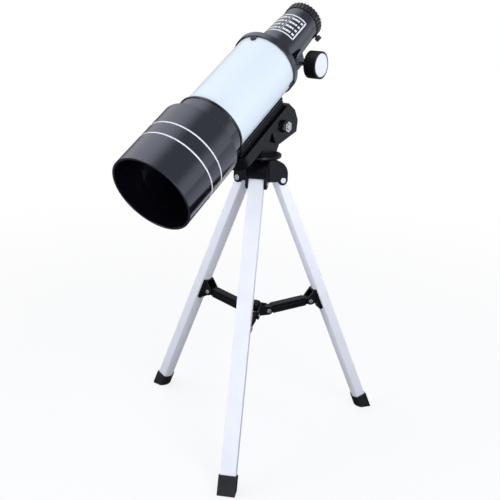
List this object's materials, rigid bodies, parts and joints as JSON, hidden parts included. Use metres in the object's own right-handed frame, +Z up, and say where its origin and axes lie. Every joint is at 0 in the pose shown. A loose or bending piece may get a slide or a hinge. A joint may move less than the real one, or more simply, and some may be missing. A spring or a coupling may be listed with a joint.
{
  "type": "telescope on tripod",
  "caption": "Short refracting telescope with a wide black hood, white tube and rack focuser, on a tilting and panning head over a folding aluminium tabletop tripod.",
  "frame": {"origin": "the point on the floor under the pan axis, in the plane of the three feet", "axes": "+Z up along the pan axis; the tube lies in the XZ plane with its eyepiece end towards +X, and the focus knobs turn about Y"},
  "size_m": [0.3174, 0.2408, 0.457],
  "materials": {
    "black_gloss_plastic": "glossy moulded black plastic",
    "white_tube_paint": "smooth white enamel on thin aluminium tube",
    "coated_glass": "polished, coated",
    "black_matte_plastic": "fine satin moulded black plastic",
    "black_anodised_aluminium": "black anodised",
    "white_trim": "glossy white, for discs and printed lines",
    "black_steel": "blackened steel",
    "bright_steel": "bright plated steel",
    "black_rubber": "matt moulded rubber",
    "satin_aluminium": "satin anodised extrusion"
  },
  "bodies": {
    "crown": {"crown": "black_matte_plastic", "leg_pins": "bright_steel", "pan_bolt": "black_steel", "pan_washer": "black_matte_plastic"},
    "pan_head": {"pan_head": "black_matte_plastic"},
    "telescope": {"dew_shield": "black_gloss_plastic", "objective_cell": "black_gloss_plastic", "objective_front_lens": "coated_glass", "objective_rear_lens": "coated_glass", "lens_spacer": "black_matte_plastic", "lens_retaining_ring": "black_matte_plastic", "main_tube": "white_tube_paint", "tube_baffle": "black_matte_plastic", "tube_screws": "black_steel", "focuser_housing": "black_gloss_plastic", "pinion_cover": "black_gloss_plastic", "pinion_cover_screws": "black_steel", "saddle_rail": "black_matte_plastic", "rail_screws": "black_steel", "saddle_pad": "black_rubber", "mounting_screw": "black_steel", "tilt_platform": "black_matte_plastic", "tilt_bolt": "bright_steel", "tilt_nut": "bright_steel", "tilt_washers": "black_matte_plastic"},
    "tilt_knob": {"tilt_knob": "black_matte_plastic"},
    "focus_drive": {"focus_pinion": "black_matte_plastic", "pinion_shaft": "bright_steel", "focus_knob_right": "black_matte_plastic", "focus_knob_left": "black_matte_plastic", "knob_cap_right": "white_trim", "knob_cap_left": "white_trim"},
    "draw_tube": {"draw_tube": "black_anodised_aluminium", "focus_rack": "black_matte_plastic", "eyepiece_ring": "black_matte_plastic"},
    "eyepiece_thumbscrew": {"eyepiece_thumbscrew": "black_anodised_aluminium"},
    "spreader_hub": {"spreader_hub": "black_matte_plastic", "hub_cap": "black_matte_plastic", "hub_rivets": "bright_steel"},
    "leg_front": {"leg_front": "satin_aluminium", "foot_front": "black_rubber", "leg_bracket_front": "black_matte_plastic", "bracket_pin_front": "bright_steel"},
    "arm_front": {"spreader_arm_front": "black_matte_plastic", "arm_pin_front": "bright_steel"},
    "leg_left": {"leg_left": "satin_aluminium", "foot_left": "black_rubber", "leg_bracket_left": "black_matte_plastic", "bracket_pin_left": "bright_steel"},
    "arm_left": {"spreader_arm_left": "black_matte_plastic", "arm_pin_left": "bright_steel"},
    "leg_right": {"leg_right": "satin_aluminium", "foot_right": "black_rubber", "leg_bracket_right": "black_matte_plastic", "bracket_pin_right": "bright_steel"},
    "arm_right": {"spreader_arm_right": "black_matte_plastic", "arm_pin_right": "bright_steel"}
  },
  "joints": [
    {"name": "pan", "type": "hinge", "parent": "crown", "child": "pan_head", "pos_m": [0, 0, 0.304], "axis": [0, 0, 1], "continuous": true},
    {"name": "tilt", "type": "hinge", "parent": "pan_head", "child": "telescope", "pos_m": [0.0213, 0, 0.33585], "axis": [0, 1, 0], "range_deg": [-5, 90]},
    {"name": "tilt_knob_turn", "type": "hinge", "parent": "telescope", "child": "tilt_knob", "pos_m": [0.0213, 0.0128, 0.33585], "axis": [0, 1, 0], "range_deg": [-90, 270]},
    {"name": "focus_turn", "type": "hinge", "parent": "telescope", "child": "focus_drive", "pos_m": [0.04542, 0, 0.39781], "axis": [0, 1, 0], "range_deg": [-2, 431.7]},
    {"name": "draw_tube_slide", "type": "slide", "parent": "telescope", "child": "draw_tube", "axis": [0.8607, 0, 0.509], "range_m": [0, 0.03]},
    {"name": "eyepiece_screw_turn", "type": "hinge", "parent": "draw_tube", "child": "eyepiece_thumbscrew", "pos_m": [0.06837, 0, 0.43758], "axis": [0.4065, -0.6018, -0.6874], "range_deg": [-180, 180]},
    {"name": "leg_fold_front", "type": "hinge", "parent": "crown", "child": "leg_front", "pos_m": [-0.01941, -0.00926, 0.282], "axis": [0.4305, -0.9026, 0], "range_deg": [0, 21.2]},
    {"name": "arm_fold_front", "type": "hinge", "parent": "leg_front", "child": "arm_front", "pos_m": [-0.05728, -0.02732, 0.14222], "axis": [0.4305, -0.9026, 0], "range_deg": [-108.76, 0.2]},
    {"name": "leg_fold_left", "type": "hinge", "parent": "crown", "child": "leg_left", "pos_m": [0.00169, 0.02143, 0.282], "axis": [-0.9969, 0.0785, 0], "range_deg": [-0.05, 21.25]},
    {"name": "arm_fold_left", "type": "hinge", "parent": "leg_left", "child": "arm_left", "pos_m": [0.00498, 0.06327, 0.14222], "axis": [-0.9969, 0.0785, 0], "range_deg": [-108.76, 0.2]},
    {"name": "leg_fold_right", "type": "hinge", "parent": "crown", "child": "leg_right", "pos_m": [0.01772, -0.01218, 0.282], "axis": [0.5664, 0.8241, 0], "range_deg": [-0.05, 21.25]},
    {"name": "arm_fold_right", "type": "hinge", "parent": "leg_right", "child": "arm_right", "pos_m": [0.0523, -0.03595, 0.14222], "axis": [0.5664, 0.8241, 0], "range_deg": [-108.76, 0.2]},
    {"name": "hub_drop", "type": "slide", "parent": "crown", "child": "spreader_hub", "axis": [0, 0, -1], "range_m": [-0.0001, 0.04929]}
  ],
  "couplings": [
    {"joint": "focus_turn", "follows": "draw_tube_slide", "rad_per_m": 250},
    {"joint": "arm_fold_front", "follows": "leg_fold_front", "ratio": -5.1206},
    {"joint": "leg_fold_left", "follows": "leg_fold_front", "ratio": 1},
    {"joint": "arm_fold_left", "follows": "leg_fold_front", "ratio": -5.1206},
    {"joint": "leg_fold_right", "follows": "leg_fold_front", "ratio": 1},
    {"joint": "arm_fold_right", "follows": "leg_fold_front", "ratio": -5.1206},
    {"joint": "hub_drop", "follows": "leg_fold_front", "m_per_rad": 0.13296}
  ]
}
